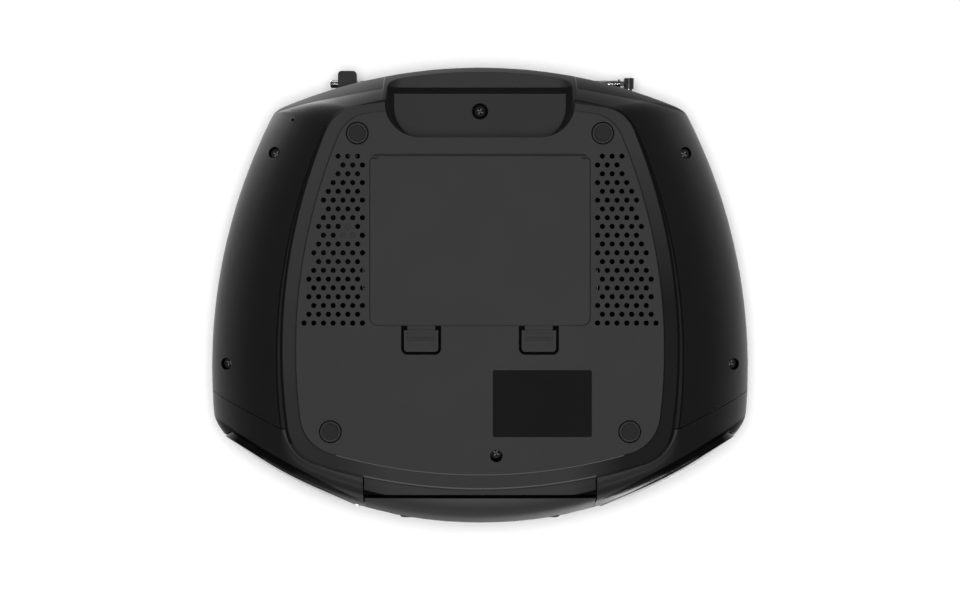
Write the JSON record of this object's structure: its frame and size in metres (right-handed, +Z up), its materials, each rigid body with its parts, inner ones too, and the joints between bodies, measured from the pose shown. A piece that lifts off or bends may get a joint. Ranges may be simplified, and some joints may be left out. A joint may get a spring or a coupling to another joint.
{
  "type": "portable cd radio",
  "caption": "Portable CD radio with two speakers, a disc lid, a handle bar over a finger pocket, a battery compartment and a folding antenna.",
  "frame": {"origin": "centre of the overall box at the surface the feet stand on", "axes": "+Z up, the front with the speakers looks along -Y, +X to the right seen from the front"},
  "size_m": [0.2836, 0.2376, 0.1286],
  "materials": {
    "textured_abs": "fine spark-eroded texture, black ABS",
    "satin_abs": "satin moulded black ABS",
    "gloss_abs": "polished black ABS",
    "perforated_steel": "black powder coat",
    "smoked_acrylic": "smoked clear acrylic",
    "lcd_glass": "reflective liquid crystal cell",
    "circuit_board": "phenolic board with parts",
    "steel_plate": "zinc-plated steel",
    "ferrite": "sintered ferrite",
    "paper_cone": "black paper pulp",
    "vinyl_label": "blank sticker",
    "rubber": "soft moulded rubber",
    "black_steel": "black oxide steel",
    "bright_steel": "ground steel",
    "black_acetal": "moulded acetal",
    "white_acetal": "moulded acetal",
    "lens_glass": "coated objective lens",
    "chrome_brass": "chromed brass tube",
    "button_abs": "moulded black ABS"
  },
  "bodies": {
    "cabinet": {"bottom_cabinet": "textured_abs", "front_cabinet": "satin_abs", "front_lip": "satin_abs", "top_cabinet": "satin_abs", "disc_tray": "satin_abs", "control_panel": "gloss_abs", "display_window": "smoked_acrylic", "display_module": "lcd_glass", "control_board": "circuit_board", "left_speaker_bezel": "gloss_abs", "right_speaker_bezel": "gloss_abs", "left_grille": "perforated_steel", "right_grille": "perforated_steel", "left_speaker_frame": "steel_plate", "right_speaker_frame": "steel_plate", "left_speaker_magnet": "ferrite", "right_speaker_magnet": "ferrite", "rating_label": "vinyl_label", "feet": "rubber", "cabinet_screws": "black_steel", "antenna_rest": "textured_abs", "battery_contacts": "steel_plate", "spindle_motor": "bright_steel", "mech_chassis": "black_acetal", "guide_rods": "bright_steel", "sled_motor": "bright_steel", "dampers": "rubber", "main_board": "circuit_board", "power_board": "circuit_board", "transformer": "steel_plate", "ac_inlet": "black_acetal", "audio_jack": "black_acetal", "volume_control": "black_acetal", "power_switch": "circuit_board"},
    "lid": {"cd_lid": "satin_abs", "lid_window": "smoked_acrylic"},
    "turntable": {"turntable": "black_acetal"},
    "laser": {"laser_sled": "black_acetal", "laser_lens": "lens_glass"},
    "drive_gear": {"sled_gear": "black_acetal"},
    "drive_pinion": {"motor_pinion": "white_acetal"},
    "battery_door": {"battery_door": "textured_abs"},
    "latch_left": {"battery_latch_left": "textured_abs"},
    "latch_right": {"battery_latch_right": "textured_abs"},
    "speaker_cone_left": {"left_speaker_cone": "paper_cone"},
    "speaker_cone_right": {"right_speaker_cone": "paper_cone"},
    "volume": {"volume_knob": "satin_abs"},
    "antenna_turner": {"antenna_base": "chrome_brass"},
    "antenna_rod_1": {"antenna_section_1": "chrome_brass"},
    "antenna_rod_2": {"antenna_section_2": "chrome_brass"},
    "antenna_rod_3": {"antenna_section_3": "chrome_brass"},
    "antenna_rod_4": {"antenna_section_4": "chrome_brass"},
    "play_key": {"play_button": "button_abs"},
    "previous_key": {"previous_button": "button_abs"},
    "next_key": {"next_button": "button_abs"},
    "stop_key": {"stop_button": "button_abs"},
    "source_key": {"source_button": "button_abs"},
    "tuning_down_key": {"tuning_down_button": "button_abs"},
    "tuning_up_key": {"tuning_up_button": "button_abs"},
    "power_key": {"power_button": "satin_abs"}
  },
  "joints": [
    {"name": "lid_hinge", "type": "hinge", "parent": "cabinet", "child": "lid", "pos_m": [0, 0.084, 0.11465], "axis": [-1, 0, 0], "range_deg": [0, 75]},
    {"name": "turntable_spin", "type": "hinge", "parent": "cabinet", "child": "turntable", "pos_m": [0, 0.008, 0.1], "axis": [0, 0, -1], "continuous": true},
    {"name": "laser_slide", "type": "slide", "parent": "cabinet", "child": "laser", "axis": [0, -1, 0], "range_m": [0, 0.034]},
    {"name": "gear_spin", "type": "hinge", "parent": "cabinet", "child": "drive_gear", "pos_m": [0.0296, -0.042, 0.086], "axis": [0, 0, 1], "range_deg": [-5, 250]},
    {"name": "pinion_spin", "type": "hinge", "parent": "cabinet", "child": "drive_pinion", "pos_m": [0.0401, -0.042, 0.086], "axis": [0, 0, 1], "range_deg": [-830, 15]},
    {"name": "battery_door_hinge", "type": "hinge", "parent": "cabinet", "child": "battery_door", "pos_m": [0, 0.069, 0.003], "axis": [1, 0, 0], "range_deg": [0, 95]},
    {"name": "latch_left_slide", "type": "slide", "parent": "battery_door", "child": "latch_left", "axis": [0, 1, 0], "range_m": [0, 0.0012], "stiffness_N_per_m": 1500},
    {"name": "latch_right_slide", "type": "slide", "parent": "battery_door", "child": "latch_right", "axis": [0, 1, 0], "range_m": [0, 0.0012], "stiffness_N_per_m": 1500},
    {"name": "cone_left_slide", "type": "slide", "parent": "cabinet", "child": "speaker_cone_left", "axis": [-0.4648, -0.8854, 0], "range_m": [-0.0015, 0.0015], "stiffness_N_per_m": 1500},
    {"name": "cone_right_slide", "type": "slide", "parent": "cabinet", "child": "speaker_cone_right", "axis": [0.4648, -0.8854, 0], "range_m": [-0.0015, 0.0015], "stiffness_N_per_m": 1500},
    {"name": "volume_turn", "type": "hinge", "parent": "cabinet", "child": "volume", "pos_m": [0.08, -0.052, 0.122], "axis": [0, 0, -1], "range_deg": [-150, 150]},
    {"name": "antenna_turn", "type": "hinge", "parent": "cabinet", "child": "antenna_turner", "pos_m": [-0.08, 0.1133, 0.078], "axis": [0, -1, 0], "range_deg": [0, 180]},
    {"name": "antenna_lean", "type": "hinge", "parent": "antenna_turner", "child": "antenna_rod_1", "pos_m": [-0.08, 0.1133, 0.078], "axis": [0, 0, 1], "range_deg": [0, 90]},
    {"name": "antenna_slide_2", "type": "slide", "parent": "antenna_rod_1", "child": "antenna_rod_2", "axis": [1, 0, 0], "range_m": [0, 0.13]},
    {"name": "antenna_slide_3", "type": "slide", "parent": "antenna_rod_2", "child": "antenna_rod_3", "axis": [1, 0, 0], "range_m": [0, 0.13]},
    {"name": "antenna_slide_4", "type": "slide", "parent": "antenna_rod_3", "child": "antenna_rod_4", "axis": [1, 0, 0], "range_m": [0, 0.13]},
    {"name": "play_key_press", "type": "slide", "parent": "cabinet", "child": "play_key", "axis": [0, 0.9945, -0.1045], "range_m": [0, 0.0008], "stiffness_N_per_m": 800},
    {"name": "previous_key_press", "type": "slide", "parent": "cabinet", "child": "previous_key", "axis": [0, 0.9945, -0.1045], "range_m": [0, 0.0008], "stiffness_N_per_m": 800},
    {"name": "next_key_press", "type": "slide", "parent": "cabinet", "child": "next_key", "axis": [0, 0.9945, -0.1045], "range_m": [0, 0.0008], "stiffness_N_per_m": 800},
    {"name": "stop_key_press", "type": "slide", "parent": "cabinet", "child": "stop_key", "axis": [0, 0.9945, -0.1045], "range_m": [0, 0.0008], "stiffness_N_per_m": 800},
    {"name": "source_key_press", "type": "slide", "parent": "cabinet", "child": "source_key", "axis": [0, 0.9945, -0.1045], "range_m": [0, 0.0008], "stiffness_N_per_m": 800},
    {"name": "tuning_down_key_press", "type": "slide", "parent": "cabinet", "child": "tuning_down_key", "axis": [0, 0.9945, -0.1045], "range_m": [0, 0.0008], "stiffness_N_per_m": 800},
    {"name": "tuning_up_key_press", "type": "slide", "parent": "cabinet", "child": "tuning_up_key", "axis": [0, 0.9945, -0.1045], "range_m": [0, 0.0008], "stiffness_N_per_m": 800},
    {"name": "power_key_press", "type": "slide", "parent": "cabinet", "child": "power_key", "axis": [0, 0, -1], "range_m": [0, 0.0008], "stiffness_N_per_m": 800}
  ],
  "couplings": [
    {"joint": "gear_spin", "follows": "laser_slide", "rad_per_m": 125},
    {"joint": "pinion_spin", "follows": "laser_slide", "rad_per_m": -416.67}
  ]
}
